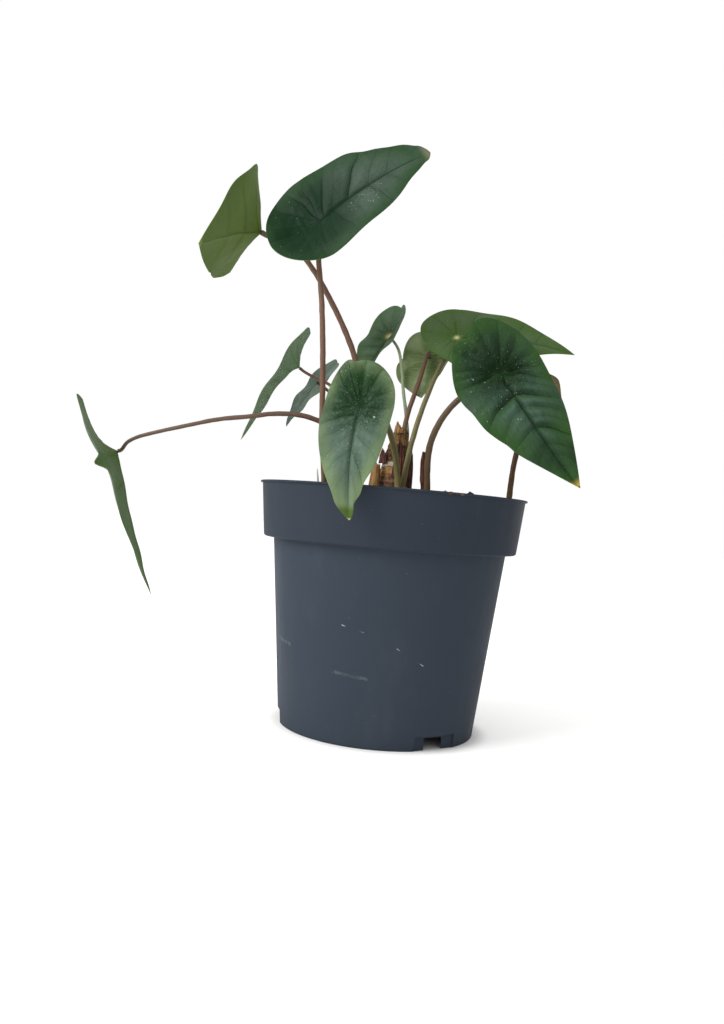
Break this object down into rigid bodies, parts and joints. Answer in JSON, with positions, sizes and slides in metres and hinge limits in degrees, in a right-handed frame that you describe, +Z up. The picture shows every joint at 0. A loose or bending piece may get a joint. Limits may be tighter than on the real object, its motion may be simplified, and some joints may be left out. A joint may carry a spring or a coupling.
{
  "type": "potted alocasia platinum",
  "caption": "Young alocasia platinum in a round tapered nursery pot: shield-shaped blades on thin curved stalks that rise from a short husky trunk.",
  "frame": {"origin": "on the pot's axis, in the plane that its foot stands on", "axes": "+Z up along the pot's axis; -Y is the plant's open front, where a blade hangs over the rim; +X is to the right seen from there"},
  "size_m": [0.3152, 0.1814, 0.3517],
  "materials": {
    "pot": "matte",
    "soil": "matte",
    "trunk": "matte",
    "husk": "matte",
    "dark_husk": "matte",
    "brown_stalk": "satin",
    "olive_stalk": "satin",
    "pale_stalk": "satin",
    "blade": "satin",
    "pale_blade": "satin",
    "dry_blade": "matte"
  },
  "bodies": {
    "root": {"pot": "pot", "soil": "soil", "trunk": "trunk", "scale_top": "husk", "scale_left": "dark_husk", "scale_front": "dark_husk", "scale_right": "dark_husk", "stump": "husk", "sheath": "dark_husk", "root_tip": "pale_stalk", "stalk_top": "brown_stalk", "stalk_high_left": "brown_stalk", "stalk_far_left": "brown_stalk", "stalk_left": "brown_stalk", "stalk_back_left": "brown_stalk", "stalk_front": "olive_stalk", "stalk_centre": "pale_stalk", "stalk_centre_right": "brown_stalk", "stalk_right": "olive_stalk", "stalk_right_front": "brown_stalk", "stalk_right_dry": "brown_stalk", "blade_top": "blade", "blade_high_left": "pale_blade", "blade_far_left": "pale_blade", "blade_left": "pale_blade", "blade_back_left": "pale_blade", "blade_front": "blade", "blade_centre": "blade", "blade_centre_right": "pale_blade", "blade_right": "blade", "blade_right_front": "blade", "blade_right_dry": "dry_blade"}
  },
  "joints": []
}
